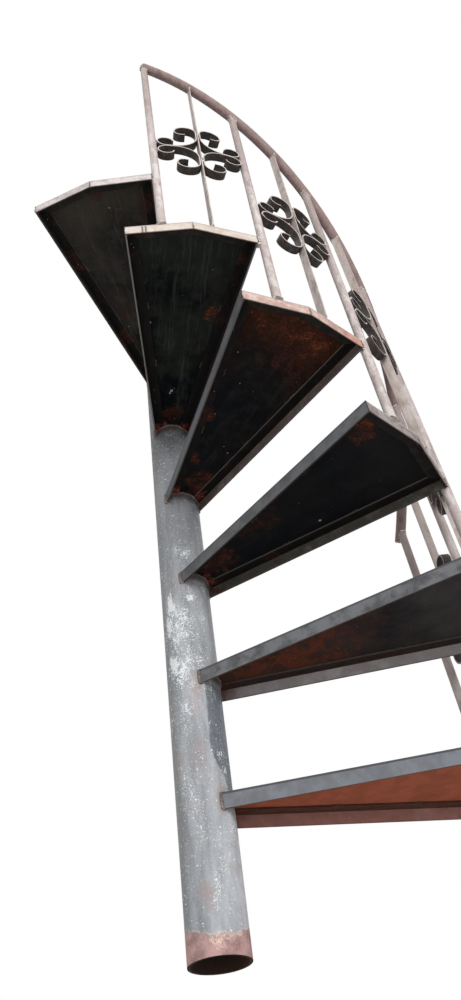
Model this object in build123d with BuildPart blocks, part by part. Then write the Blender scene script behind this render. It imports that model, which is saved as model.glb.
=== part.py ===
"""Welded steel spiral staircase: six angle-framed treads on a pipe pole, with a scrolled railing.

Millimetres. +Z runs up the pole, and the origin is the centre of the pole's foot.
"""

import os
from math import atan2, cos, degrees, radians, sin

from build123d import *

# Pole
POLE_DIAMETER = 101.6
POLE_WALL = 4.0
POLE_ABOVE_TOP_TREAD = 60.0

# Flight: the treads climb clockwise, seen from above
TREADS = 6
RISE = 241.0
FIRST_TREAD_TOP = 251.0
FIRST_TREAD_AZIMUTH = 90.0
STEP_AZIMUTH = 20.7

# Tread: a plate on a frame of equal angle, pointed at the middle of its rim
ROOT_HALF_WIDTH = 37.0
CORNER_REACH = 571.0
CORNER_HALF_WIDTH = 138.0
RIM_POINT_DEPTH = 22.0
PLATE_THICKNESS = 3.2
ANGLE_LEG = 25.4
ANGLE_THICKNESS = 3.2

# Railing
POST_DIAMETER = 19.0
POST_SETBACK = 6.0
FLAT_WIDTH = 19.0
FLAT_THICKNESS = 3.0
RAIL_DIAMETER = 25.4
RAIL_WALL = 2.0
RAIL_HEIGHT = 960.0
WELD_GAP = 0.2

# How far back down the flight the top of each baluster leans, the lowest first
POST_LEANS = (0.0, 0.0, 0.0, 13.0, 21.0, 0.0)
FLAT_LEANS = (0.0, 0.0, 0.0, 21.5, 14.0)

# Scrolls, each bent from flat bar between a post and the flat baluster; the levels are above each tread
SCROLL_LEVELS = (394.0, 394.0, 394.0, 380.0, 394.0)
SCROLL_THICKNESS = 3.0
SMALL_CURL_RADIUS = 23.0
SMALL_CURL_END_RADIUS = 19.0
LARGE_CURL_RADIUS = 26.5
LARGE_CURL_END_RADIUS = 17.0
SCROLL_SPINE = 10.0
SCROLL_STRAIGHT = 32.0

PIPE_RADIUS = POLE_DIAMETER / 2
POST_RADIUS = POST_DIAMETER / 2
TOP_TREAD_TOP = FIRST_TREAD_TOP + (TREADS - 1) * RISE
POLE_LENGTH = TOP_TREAD_TOP + POLE_ABOVE_TOP_TREAD

# Plan of one tread that points along +X, the front (nosing) side towards +Y
FRONT_ROOT = Vector(0, ROOT_HALF_WIDTH)
FRONT_CORNER = Vector(CORNER_REACH, CORNER_HALF_WIDTH)
RIM_POINT = Vector(CORNER_REACH + RIM_POINT_DEPTH, 0)
REAR_CORNER = Vector(CORNER_REACH, -CORNER_HALF_WIDTH)
REAR_ROOT = Vector(0, -ROOT_HALF_WIDTH)

# A post stands beside the front angle, set back from the corner of the rim
SIDE_DIRECTION = (FRONT_CORNER - FRONT_ROOT).normalized()
SIDE_NORMAL = SIDE_DIRECTION.rotate(Axis.Z, 90)
POST_PLACE = FRONT_CORNER - SIDE_DIRECTION * POST_SETBACK + SIDE_NORMAL * (POST_RADIUS + WELD_GAP)
RAIL_RADIUS = POST_PLACE.length
POST_AZIMUTH = degrees(atan2(POST_PLACE.Y, POST_PLACE.X))
RAIL_SLOPE = degrees(atan2(RISE, RAIL_RADIUS * radians(STEP_AZIMUTH)))

# The handrail is cut square, so its underside ends this far uphill of its centre line
RAIL_END_SHIFT = RAIL_DIAMETER / 2 * sin(radians(RAIL_SLOPE))

# Every scroll has the same bends: its belly fills an even half bay, from the post's side to the flat
# baluster, which it meets at a slight angle
SCROLL_BASE = WELD_GAP + SCROLL_THICKNESS / 2
HALF_BAY = 2 * RAIL_RADIUS * sin(radians(STEP_AZIMUTH / 4))
FLAT_ANGLE = radians(STEP_AZIMUTH / 4)
FLAT_HALF_SPAN = (FLAT_THICKNESS * cos(FLAT_ANGLE) + FLAT_WIDTH * sin(FLAT_ANGLE)) / 2
BELLY_RADIUS = HALF_BAY - POST_RADIUS - FLAT_HALF_SPAN - 2 * SCROLL_BASE - SMALL_CURL_RADIUS - SCROLL_SPINE


def tread_top(number):
    return FIRST_TREAD_TOP + (number - 1) * RISE


def tread_azimuth(number):
    return FIRST_TREAD_AZIMUTH - (number - 1) * STEP_AZIMUTH


def post_azimuth(number):
    """Azimuth of the post beside the front corner of a tread."""
    return tread_azimuth(number) + POST_AZIMUTH


def flat_azimuth(number):
    """Azimuth of the flat baluster, half way between the two posts of a tread's bay."""
    return (post_azimuth(number) + post_azimuth(number + 1)) / 2


def rail_point(azimuth, height=0.0):
    """Plan point of the railing at an azimuth."""
    return Vector(RAIL_RADIUS * cos(radians(azimuth)), RAIL_RADIUS * sin(radians(azimuth)), height)


def rail_level(azimuth):
    """Height of the handrail's centre line at an azimuth."""
    steps = (post_azimuth(1) - azimuth) / STEP_AZIMUTH
    return FIRST_TREAD_TOP - RISE + RAIL_HEIGHT + steps * RISE


def rail_uphill(azimuth):
    """Direction in which the handrail climbs at an azimuth."""
    outward = rail_point(azimuth).normalized()
    level_way = Vector(outward.Y, -outward.X)
    return level_way * cos(radians(RAIL_SLOPE)) + Vector(0, 0, sin(radians(RAIL_SLOPE)))


def rail_underside(azimuth):
    """Plane along the underside of the handrail, facing up, where a baluster is mitred to it."""
    level = rail_level(azimuth)
    facing_up = rail_uphill(azimuth).cross(rail_point(azimuth).normalized())
    if facing_up.Z < 0:
        facing_up = facing_up * -1
    drop = RAIL_DIAMETER / 2 + WELD_GAP
    return Plane(origin=rail_point(azimuth, level) - facing_up * drop, z_dir=facing_up)


def baluster_axis(azimuth, foot, lean):
    """Foot and top of a baluster's axis, the top on the handrail's centre line."""
    top = azimuth + degrees(lean / RAIL_RADIUS)
    return rail_point(azimuth, foot), rail_point(top, rail_level(top)), top


def post_axis(number):
    """Axis of the post beside a tread's front corner, standing on the tread below or on the ground."""
    foot = tread_top(number - 1) if number > 1 else 0.0
    return baluster_axis(post_azimuth(number), foot, POST_LEANS[number - 1])


def flat_axis(number):
    return baluster_axis(flat_azimuth(number), tread_top(number), FLAT_LEANS[number - 1])


def axis_at(axis, level):
    """Point of a baluster's axis at a level."""
    foot, top, _ = axis
    return foot + (top - foot) * ((level - foot.Z) / (top.Z - foot.Z))


def export(part, name):
    part.label = name
    export_step(part, f"parts/{name}.step")


def placed(part, number):
    """A copy of a tread piece at its place in the flight."""
    with BuildPart() as piece:
        with Locations(Location((0, 0, tread_top(number)), (0, 0, tread_azimuth(number)))):
            add(part)
    return piece.part


def make_pole():
    with BuildPart() as pole:
        with BuildSketch():
            Circle(PIPE_RADIUS)
            Circle(PIPE_RADIUS - POLE_WALL, mode=Mode.SUBTRACT)
        extrude(amount=POLE_LENGTH)
    return pole.part


def make_plate():
    """Tread plate, its top at Z = 0, notched round the pole."""
    with BuildPart() as plate:
        with BuildSketch():
            with BuildLine():
                Polyline(FRONT_ROOT, FRONT_CORNER, RIM_POINT, REAR_CORNER, REAR_ROOT, close=True)
            make_face()
            Circle(PIPE_RADIUS, mode=Mode.SUBTRACT)
        extrude(amount=-PLATE_THICKNESS)
        keep_reach = Plane(origin=(0, 0, 0), z_dir=(1, 0, 0))
        split(bisect_by=keep_reach, keep=Keep.TOP)
    return plate.part


def make_angle(start, end, mitre_start=None, mitre_end=None):
    """Equal angle under the plate's edge from start to end, its upright leg outside.

    The plate's edge runs with the tread on its right. A mitre is the direction of the next edge.
    """
    along = (end - start).normalized()
    spare = ANGLE_LEG * 2
    corner = start - along * spare - Vector(0, 0, PLATE_THICKNESS)
    section = Plane(origin=corner, x_dir=along.rotate(Axis.Z, -90), z_dir=along)
    up = section.y_dir.Z
    with BuildPart() as angle:
        with BuildSketch(section):
            with BuildLine():
                Polyline(
                    (0, 0),
                    (ANGLE_LEG, 0),
                    (ANGLE_LEG, -up * ANGLE_THICKNESS),
                    (ANGLE_THICKNESS, -up * ANGLE_THICKNESS),
                    (ANGLE_THICKNESS, -up * ANGLE_LEG),
                    (0, -up * ANGLE_LEG),
                    close=True,
                )
            make_face()
        extrude(amount=(end - start).length + 2 * spare)
        if mitre_start:
            split(bisect_by=Plane(origin=start, z_dir=along + mitre_start), keep=Keep.TOP)
        if mitre_end:
            split(bisect_by=Plane(origin=end, z_dir=along + mitre_end), keep=Keep.BOTTOM)
        Cylinder(PIPE_RADIUS, 4 * ANGLE_LEG, mode=Mode.SUBTRACT)
        split(bisect_by=Plane(origin=(0, 0, 0), z_dir=(1, 0, 0)), keep=Keep.TOP)
    return angle.part


def make_side_angles():
    rim_in = (REAR_CORNER - RIM_POINT).normalized()
    rim_out = (RIM_POINT - FRONT_CORNER).normalized()
    front = make_angle(FRONT_ROOT, FRONT_CORNER, mitre_end=rim_out)
    rear = make_angle(REAR_CORNER, REAR_ROOT, mitre_start=rim_in)
    return front, rear


def make_rim_angle():
    """Rim angle, bent at the point of the tread and mitred at both corners."""
    side_out = (FRONT_CORNER - FRONT_ROOT).normalized()
    side_in = (REAR_ROOT - REAR_CORNER).normalized()
    front_half = (RIM_POINT - FRONT_CORNER).normalized()
    rear_half = (REAR_CORNER - RIM_POINT).normalized()
    with BuildPart() as rim:
        add(make_angle(FRONT_CORNER, RIM_POINT, mitre_start=side_out, mitre_end=rear_half))
        add(make_angle(RIM_POINT, REAR_CORNER, mitre_start=front_half, mitre_end=side_in))
    return rim.part


def make_post(number):
    """Round baluster, cut level at its foot and mitred under the handrail."""
    foot, top, top_azimuth = post_axis(number)
    with BuildPart() as post:
        with BuildSketch(Plane(origin=foot, z_dir=(0, 0, 1))):
            Circle(POST_RADIUS)
        extrude(amount=(top - foot).length + RAIL_DIAMETER, dir=top - foot)
        split(bisect_by=rail_underside(top_azimuth), keep=Keep.BOTTOM)
    return post.part


def make_flat(number):
    """Flat baluster in the middle of a bay, its width along the radius."""
    foot, top, top_azimuth = flat_axis(number)
    outward = rail_point(flat_azimuth(number)).normalized()
    with BuildPart() as flat:
        with BuildSketch(Plane(origin=foot, x_dir=outward, z_dir=(0, 0, 1))):
            Rectangle(FLAT_WIDTH, FLAT_THICKNESS)
        extrude(amount=(top - foot).length + RAIL_DIAMETER, dir=top - foot)
        split(bisect_by=rail_underside(top_azimuth), keep=Keep.BOTTOM)
    return flat.part


def make_handrail():
    """Helical tube over the posts, cut square where its underside has just covered the end posts."""
    low = post_azimuth(1) + degrees((POST_RADIUS + RAIL_END_SHIFT) / RAIL_RADIUS)
    high = post_azimuth(TREADS) - degrees((POST_RADIUS - RAIL_END_SHIFT) / RAIL_RADIUS)
    spare = degrees(RAIL_DIAMETER * 1.5 / RAIL_RADIUS)
    start = low + spare
    turn = start - high + spare
    with BuildPart() as tube:
        with BuildLine():
            helix = Helix(
                pitch=RISE * 360 / STEP_AZIMUTH,
                height=RISE * turn / STEP_AZIMUTH,
                radius=RAIL_RADIUS,
                lefthand=True,
            )
        with BuildSketch(Plane(origin=helix @ 0, z_dir=helix % 0)):
            Circle(RAIL_DIAMETER / 2)
            Circle(RAIL_DIAMETER / 2 - RAIL_WALL, mode=Mode.SUBTRACT)
        sweep(path=helix, is_frenet=True)
    with BuildPart() as handrail:
        with Locations(Location((0, 0, rail_level(start)), (0, 0, start))):
            add(tube)
        for azimuth, keep in ((low, Keep.TOP), (high, Keep.BOTTOM)):
            end = rail_point(azimuth, rail_level(azimuth))
            split(bisect_by=Plane(origin=end, z_dir=rail_uphill(azimuth)), keep=keep)
    return handrail.part


def scroll_path(reach):
    """Centre line of one C scroll, from its small curl by a post to its large curl by the flat baluster.

    X = 0 is the side of the post, and X = reach that of the flat baluster. The straight under the bends
    takes up what the lean of a baluster adds.
    """
    right = reach - SCROLL_BASE
    small = Vector(SCROLL_BASE + SMALL_CURL_RADIUS, SCROLL_BASE + SMALL_CURL_RADIUS)
    small_end = Vector(SCROLL_BASE + SMALL_CURL_END_RADIUS, small.Y)
    belly = Vector(right - BELLY_RADIUS, SCROLL_BASE + BELLY_RADIUS)
    large = Vector(right - LARGE_CURL_RADIUS, belly.Y + SCROLL_STRAIGHT)
    large_end = Vector(large.X - LARGE_CURL_RADIUS + LARGE_CURL_END_RADIUS, large.Y)
    with BuildLine() as path:
        CenterArc(small_end, SMALL_CURL_END_RADIUS, 10, 170)
        CenterArc(small, SMALL_CURL_RADIUS, 180, 90)
        Line((small.X, SCROLL_BASE), (belly.X, SCROLL_BASE))
        CenterArc(belly, BELLY_RADIUS, 270, 90)
        Line((right, belly.Y), (right, large.Y))
        CenterArc(large, LARGE_CURL_RADIUS, 0, 180)
        CenterArc(large_end, LARGE_CURL_END_RADIUS, 180, 120)
    return path.line


def make_scrolls(number):
    """Four C scrolls in a bay, back to back about one level, square to the flat baluster."""
    level = tread_top(number) + SCROLL_LEVELS[number - 1]
    flat = flat_axis(number)
    middle = axis_at(flat, level)
    along = (flat[1] - flat[0]).normalized()
    outward = rail_point(flat_azimuth(number)).normalized()
    post_touch = SCROLL_BASE + SMALL_CURL_RADIUS
    with BuildPart() as scrolls:
        for post in (number, number + 1):
            for upright in (1, -1):
                apart = axis_at(post_axis(post), level + upright * post_touch) - middle
                apart = apart - along * apart.dot(along)
                side = apart.normalized()
                slant = abs(side.dot(outward))
                half_flat = (FLAT_THICKNESS * (1 - slant**2) ** 0.5 + FLAT_WIDTH * slant) / 2
                start = middle + apart - side * POST_RADIUS
                plane = Plane(origin=start, x_dir=-side, z_dir=(-side).cross(along * upright))
                path = plane.from_local_coords(scroll_path(apart.length - POST_RADIUS - half_flat))
                with BuildSketch(Plane(origin=path @ 0, x_dir=plane.z_dir, z_dir=path % 0)):
                    Rectangle(FLAT_WIDTH, SCROLL_THICKNESS)
                sweep(path=path)
    return scrolls.part


os.makedirs("parts", exist_ok=True)

export(make_pole(), "pole")

plate = make_plate()
front_angle, rear_angle = make_side_angles()
rim_angle = make_rim_angle()
for number in range(1, TREADS + 1):
    export(placed(plate, number), f"tread_{number}_plate")
    export(placed(front_angle, number), f"tread_{number}_front_angle")
    export(placed(rear_angle, number), f"tread_{number}_rear_angle")
    export(placed(rim_angle, number), f"tread_{number}_rim_angle")

for number in range(1, TREADS + 1):
    export(make_post(number), f"post_{number}")

for number in range(1, TREADS):
    export(make_flat(number), f"flat_baluster_{number}")
    export(make_scrolls(number), f"scrolls_{number}")

export(make_handrail(), "handrail")
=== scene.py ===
# Looks for a welded steel spiral staircase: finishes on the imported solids, weld beads, floor, lights and camera.
import functools
import math
import random

import bpy
from mathutils import Matrix, Vector


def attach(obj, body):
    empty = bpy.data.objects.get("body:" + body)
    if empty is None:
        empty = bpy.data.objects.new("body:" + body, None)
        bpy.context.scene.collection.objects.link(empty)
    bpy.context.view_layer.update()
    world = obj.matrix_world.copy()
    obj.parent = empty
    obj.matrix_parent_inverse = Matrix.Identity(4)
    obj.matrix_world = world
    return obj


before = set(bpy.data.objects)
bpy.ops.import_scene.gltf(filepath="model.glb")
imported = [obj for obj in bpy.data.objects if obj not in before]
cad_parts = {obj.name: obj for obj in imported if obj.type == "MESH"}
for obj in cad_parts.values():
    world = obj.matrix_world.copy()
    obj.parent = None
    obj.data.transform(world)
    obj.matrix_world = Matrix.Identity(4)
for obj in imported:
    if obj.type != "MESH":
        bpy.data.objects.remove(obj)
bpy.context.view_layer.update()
print("solids loaded:", len(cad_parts))

# The flight in metres. Tread 1 is the lowest, and each tread has its own x along it, y towards its front edge.
flight = {
    "treads": 6,
    "rise": 0.241,
    "firstTop": 0.251,
    "firstAzimuth": math.radians(90.0),
    "stepAzimuth": math.radians(-20.7),
    "poleRadius": 0.0508,
    "rootHalfWidth": 0.037,
    "cornerReach": 0.571,
    "cornerHalfWidth": 0.138,
    "pointReach": 0.593,
    "plate": 0.0032,
    "leg": 0.0254,
    "postRadius": 0.0095,
    "postSetback": 0.006,
    "flatWidth": 0.019,
    "flatThickness": 0.003,
    "railHeight": 0.96,
    "railRadius": 0.0127,
    "postLeans": (0.0, 0.0, 0.0, 0.013, 0.021, 0.0),
    "flatLeans": (0.0, 0.0, 0.0, 0.0215, 0.014),
    "scrollLevels": (0.394, 0.394, 0.394, 0.380, 0.394),
    "scrollThickness": 0.003,
    "smallCurl": 0.023,
    "scrollBelly": 0.0582,
    "scrollStraight": 0.032,
    "gap": 0.0002,
}
sideTurn = math.atan2(flight["cornerHalfWidth"] - flight["rootHalfWidth"], flight["cornerReach"])
rimTurn = math.atan2(flight["pointReach"] - flight["cornerReach"], flight["cornerHalfWidth"])


def treadTop(number):
    return flight["firstTop"] + (number - 1) * flight["rise"]


def treadAzimuth(number):
    return flight["firstAzimuth"] + (number - 1) * flight["stepAzimuth"]


def treadPlace(number):  # from a tread's own coordinates to the frame
    lift = Matrix.Translation((0, 0, treadTop(number)))
    return lift @ Matrix.Rotation(treadAzimuth(number), 4, "Z")


# a post stands beside the front corner of its tread
sideWay = Vector((math.cos(sideTurn), math.sin(sideTurn)))
sideOut = Vector((-sideWay.y, sideWay.x))
postPlace = Vector((flight["cornerReach"], flight["cornerHalfWidth"])) - sideWay * flight["postSetback"]
postPlace = postPlace + sideOut * (flight["postRadius"] + flight["gap"])
railReach = postPlace.length
postTurn = math.atan2(postPlace.y, postPlace.x)
railSlope = math.atan2(flight["rise"], railReach * -flight["stepAzimuth"])


def railLevel(azimuth):  # height of the handrail's middle
    steps = (treadAzimuth(1) + postTurn - azimuth) / -flight["stepAzimuth"]
    return flight["firstTop"] - flight["rise"] + flight["railHeight"] + steps * flight["rise"]


def barAxis(azimuth, foot, lean):  # foot and top of a baluster, the top in the handrail's middle
    top = azimuth + lean / railReach
    start = Vector((railReach * math.cos(azimuth), railReach * math.sin(azimuth), foot))
    return start, Vector((railReach * math.cos(top), railReach * math.sin(top), railLevel(top)))


def postAxis(number):
    foot = treadTop(number - 1) if number > 1 else 0.0
    return barAxis(treadAzimuth(number) + postTurn, foot, flight["postLeans"][number - 1])


def flatAxis(number):
    azimuth = treadAzimuth(number) + postTurn + flight["stepAzimuth"] / 2
    return barAxis(azimuth, treadTop(number), flight["flatLeans"][number - 1])


def atLevel(axis, level):
    start, top = axis
    return start + (top - start) * ((level - start.z) / (top.z - start.z))


def isSocket(value):
    return isinstance(value, bpy.types.NodeSocket)


def treeOf(*values):  # the node tree of the first socket among them
    return next(value.id_data for value in values if isSocket(value))


def feed(node, inputs):  # links sockets, and sets plain values
    for name, value in inputs.items():
        if isSocket(value):
            node.id_data.links.new(value, node.inputs[name])
        else:
            node.inputs[name].default_value = value
    return node


def put(tree, kind, inputs=None, **settings):
    node = tree.nodes.new(kind)
    for name, value in settings.items():
        setattr(node, name, value)
    return feed(node, inputs or {})


def sums(operation, a, b=0.0, c=0.0):
    return put(treeOf(a, b, c), "ShaderNodeMath", {0: a, 1: b, 2: c}, operation=operation).outputs[0]


def times(a, b):
    return sums("MULTIPLY", a, b)


def plus(a, b):
    return sums("ADD", a, b)


def minus(a, b):
    return sums("SUBTRACT", a, b)


def larger(a, b):
    return sums("MAXIMUM", a, b)


def strongest(masks):
    return functools.reduce(larger, masks)


def vectors(operation, *values):
    made = put(treeOf(*values), "ShaderNodeVectorMath", dict(enumerate(values)), operation=operation).outputs
    return made["Value"] if operation in ("DISTANCE", "DOT_PRODUCT", "LENGTH") else made["Vector"]


def parts(vector):  # its x, y and z
    return put(treeOf(vector), "ShaderNodeSeparateXYZ", {0: vector}).outputs


def ramp(value, low, high, start=0.0, end=1.0):  # smooth step from low to high
    inputs = {"Value": value, "From Min": low, "From Max": high, "To Min": start, "To Max": end}
    return put(treeOf(value), "ShaderNodeMapRange", inputs, interpolation_type="SMOOTHSTEP").outputs["Result"]


def blend(amount, a, b):
    a, b = [value if isSocket(value) else (*value, 1.0) for value in (a, b)]
    return put(treeOf(amount, a, b), "ShaderNodeMix", {0: amount, 6: a, 7: b}, data_type="RGBA").outputs[2]


def coat(paint, tone, mask, share):  # a tone over the paint where the mask is, up to a share
    return blend(times(mask, share), paint, tone)


def cloud(vector, scale, detail, roughness, seed=0.0):
    inputs = {"Vector": vector, "W": seed, "Scale": scale, "Detail": detail, "Roughness": roughness}
    return put(treeOf(vector), "ShaderNodeTexNoise", inputs, noise_dimensions="4D").outputs["Fac"]


def moved(vector, location=(0, 0, 0), rotation=(0, 0, 0), scale=(1, 1, 1)):
    inputs = {"Vector": vector, "Location": location, "Rotation": rotation, "Scale": scale}
    return put(treeOf(vector), "ShaderNodeMapping", inputs).outputs["Vector"]


def stretched(vector, scales, detail, roughness, seed):  # a cloud with its own scale along each axis
    return cloud(moved(vector, scale=scales), 1.0, detail, roughness, seed)


def group(name, inputs, outputs):  # every effect takes a Vector before its other inputs
    tree = bpy.data.node_groups.new(name, "ShaderNodeTree")
    tree.interface.new_socket("Vector", in_out="INPUT", socket_type="NodeSocketVector")
    for label, value in inputs.items():
        kind = "NodeSocketFloat" if isinstance(value, float) else "NodeSocketVector"
        tree.interface.new_socket(label, in_out="INPUT", socket_type=kind).default_value = value
    for label in outputs:
        kind = "NodeSocketColor" if label == "Color" else "NodeSocketFloat"
        tree.interface.new_socket(label, in_out="OUTPUT", socket_type=kind)
    return tree, tree.nodes.new("NodeGroupInput").outputs, tree.nodes.new("NodeGroupOutput")


def use(made, vector, **values):
    return put(treeOf(vector), "ShaderNodeGroup", {"Vector": vector, **values}, node_tree=made).outputs


# Rust that breaks through paint: a mask, its colour and its raised crust
rustTones = {"deep": (0.022, 0.009, 0.006, 1), "middle": (0.105, 0.030, 0.015, 1), "light": (0.30, 0.095, 0.035, 1)}
rustBloom, given, leave = group("rustBloom", {"Scale": 20.0, "Cover": 0.4, "Seed": 0.0}, ("Mask", "Color", "Height"))
spread = cloud(given["Vector"], given["Scale"], 6.0, 0.62, given["Seed"])
edge = minus(1.0, given["Cover"])
bloom = ramp(spread, minus(edge, 0.05), plus(edge, 0.07))
grain = cloud(given["Vector"], times(given["Scale"], 7.0), 5.0, 0.7, given["Seed"])
tint = put(rustBloom, "ShaderNodeValToRGB", {"Fac": grain})
stops = tint.color_ramp.elements
stops[0].position, stops[0].color = 0.3, rustTones["deep"]
stops[1].position, stops[1].color = 0.72, rustTones["light"]
stops.new(0.52).color = rustTones["middle"]
feed(leave, {"Mask": bloom, "Color": tint.outputs["Color"], "Height": times(bloom, grain)})

# Small round specks of lime or dirt, in patches
specks, given, leave = group("specks", {"Scale": 200.0, "Size": 0.3, "Cover": 0.3, "Seed": 0.0}, ("Mask",))
warp = put(specks, "ShaderNodeTexNoise", {"Vector": given["Vector"], "Scale": 90.0, "Detail": 2.0})
shift = vectors("MULTIPLY", warp.outputs["Color"], (0.006, 0.006, 0.006))
seeded = vectors("ADD", vectors("ADD", given["Vector"], shift), given["Seed"])
cell = put(specks, "ShaderNodeTexVoronoi", {"Vector": seeded, "Scale": given["Scale"]})
pick = put(specks, "ShaderNodeSeparateColor", {"Color": cell.outputs["Color"]})
chosen = sums("LESS_THAN", pick.outputs[0], given["Cover"])
widths = times(given["Size"], ramp(pick.outputs[1], 0.0, 1.0, 0.35, 1.0))
dot = ramp(sums("DIVIDE", cell.outputs["Distance"], widths), 0.75, 1.0, 1.0, 0.0)
feed(leave, {"Mask": times(chosen, dot)})

# A patch about one place, with a ragged edge
patchInputs = {"Centre": (0, 0, 0), "Radius": 0.03, "Ragged": 0.5, "Seed": 0.0, "Core": 0.55}
patch, given, leave = group("patch", patchInputs, ("Mask",))
reach = vectors("DISTANCE", given["Vector"], given["Centre"])
rag = cloud(given["Vector"], 60.0, 5.0, 0.65, given["Seed"])
rough = times(minus(rag, 0.5), times(given["Ragged"], 3.0))
share = plus(sums("DIVIDE", reach, given["Radius"]), rough)
feed(leave, {"Mask": ramp(share, given["Core"], 1.0, 1.0, 0.0)})

# A line along a level of some value, broken up, for edges worn pale, some with a painted highlight, and for dark
# seams of dirt with painted shade
edgeLine, given, leave = group("edgeLine", {"Value": 0.0, "Width": 0.001, "Broken": 0.5, "Scale": 40.0}, ("Mask",))
low = times(given["Broken"], 0.55)
kept = ramp(cloud(given["Vector"], given["Scale"], 5.0, 0.7), low, plus(low, 0.16))
near = ramp(sums("DIVIDE", sums("ABSOLUTE", given["Value"]), given["Width"]), 0.5, 1.1, 1.0, 0.0)
feed(leave, {"Mask": times(near, kept)})

# Where a point of a tread lies: how far inside its side edge and its rim, all in the tread's own coordinates
treadEdges, given, leave = group("treadEdges", {}, ("Side", "Rim", "Level", "Across"))
place = parts(given["Vector"])
off = sums("ABSOLUTE", place[1])
halfWidth = sums("MULTIPLY_ADD", place[0], math.tan(sideTurn), flight["rootHalfWidth"])
toSide = times(minus(halfWidth, off), math.cos(sideTurn))
rimReach = sums("MULTIPLY_ADD", off, -math.tan(rimTurn), flight["pointReach"])
toRim = times(minus(rimReach, place[0]), math.cos(rimTurn))
feed(leave, {"Side": toSide, "Rim": toRim, "Level": place[2], "Across": place[1]})

# Faint lines left by rolling and by rain, stretched along x
streaks, given, leave = group("streaks", {"Seed": 0.0}, ("Mask", "Fine", "Drips"))
sway = put(streaks, "ShaderNodeTexNoise", {"Vector": given["Vector"], "Scale": 22.0, "Detail": 3.0})
swayed = vectors("ADD", given["Vector"], vectors("MULTIPLY", sway.outputs["Color"], (0.0, 0.012, 0.0)))
long = stretched(swayed, (5.0, 70.0, 70.0), 5.0, 0.6, given["Seed"])
fine = stretched(given["Vector"], (18.0, 320.0, 320.0), 4.0, 0.6, given["Seed"])
dripping = stretched(swayed, (13.0, 250.0, 250.0), 5.0, 0.7, given["Seed"])
feed(leave, {"Mask": ramp(long, 0.42, 0.66), "Fine": fine, "Drips": ramp(dripping, 0.47, 0.63)})

# Lime that dries in small crusts and runs together where there is much of it
lime, given, leave = group("lime", {"Amount": 0.2, "Seed": 0.0}, ("Mask",))
crust = cloud(given["Vector"], 210.0, 4.0, 0.62, given["Seed"])
fineCrust = cloud(given["Vector"], 430.0, 3.0, 0.6, given["Seed"])
need = sums("MULTIPLY_ADD", given["Amount"], -0.31, 0.745)
small = ramp(fineCrust, minus(need, 0.03), plus(need, 0.02))
feed(leave, {"Mask": larger(ramp(crust, need, plus(need, 0.025)), small)})

# Fine contrasty grain of old paint, about one half
grit, given, leave = group("grit", {"Scale": 380.0, "Seed": 0.0}, ("Mask",))
grains = cloud(given["Vector"], given["Scale"], 5.0, 0.75, given["Seed"])
feed(leave, {"Mask": ramp(grains, 0.34, 0.66)})
print("shared effects made")


def rustAt(spot, scale, cover, seed):
    return use(rustBloom, spot, Scale=scale, Cover=cover, Seed=seed)


def specksAt(spot, scale, size, cover, seed):
    return use(specks, spot, Scale=scale, Size=size, Cover=cover, Seed=seed)["Mask"]


def patchAt(spot, centre, radius, ragged, seed, core=0.55):
    return use(patch, spot, Centre=centre, Radius=radius, Ragged=ragged, Seed=seed, Core=core)["Mask"]


def lineAt(spot, value, width, broken, scale):
    return use(edgeLine, spot, Value=value, Width=width, Broken=broken, Scale=scale)["Mask"]


def limeAt(spot, amount, seed):
    return use(lime, spot, Amount=amount, Seed=seed)["Mask"]


def gritAt(spot, scale, seed):
    return use(grit, spot, Scale=scale, Seed=seed)["Mask"]


def finish(name, roughness, specular):
    material = bpy.data.materials.new(name)
    material.use_nodes = True
    tree = material.node_tree
    shader = tree.nodes["Principled BSDF"]
    shader.inputs["Roughness"].default_value = roughness
    shader.inputs["Specular IOR Level"].default_value = specular
    return material, tree, shader


def dress(shader, paint, roughness, height, strength, distance):
    inputs = {"Height": height, "Strength": strength, "Distance": distance}
    relief = put(treeOf(height), "ShaderNodeBump", inputs).outputs["Normal"]
    feed(shader, {"Base Color": paint, "Roughness": roughness, "Normal": relief})


def coordinates(tree, number=None):  # the frame's, or one tread's own
    spot = put(tree, "ShaderNodeTexCoord").outputs["Object"]
    if number is None:
        return spot
    lowered = moved(spot, location=(0, 0, -treadTop(number)))
    return moved(lowered, rotation=(0, 0, -treadAzimuth(number)))


def flattened(spot):
    return vectors("MULTIPLY", spot, (1.0, 1.0, 0.0))


# red lumps of rust in the corners beside the pole
lumpLook = {
    "red": (0.300, 0.062, 0.050),
    "strength": 0.9,
    # own place and radius, by tread
    "places": {
        3: [(0.058, 0.008, -0.0034, 0.013), (0.056, 0.026, -0.0034, 0.012)],
        4: [(0.052, -0.028, -0.0050, 0.016), (0.058, 0.031, -0.0060, 0.017), (0.078, 0.037, -0.0150, 0.011)],
        5: [(0.043, -0.036, -0.0130, 0.017), (0.050, 0.034, -0.0130, 0.016), (0.056, -0.020, -0.0034, 0.009)],
    },
}


def redden(spot, paint, places):
    broken = ramp(cloud(spot, 190.0, 4.0, 0.65, 11.0), 0.40, 0.56)
    for index, (x, y, z, radius) in enumerate(places):
        mask = times(patchAt(spot, (x, y, z), radius, 0.7, 30.0 + index, 0.2), broken)
        paint = coat(paint, lumpLook["red"], mask, lumpLook["strength"])
    return paint


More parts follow.
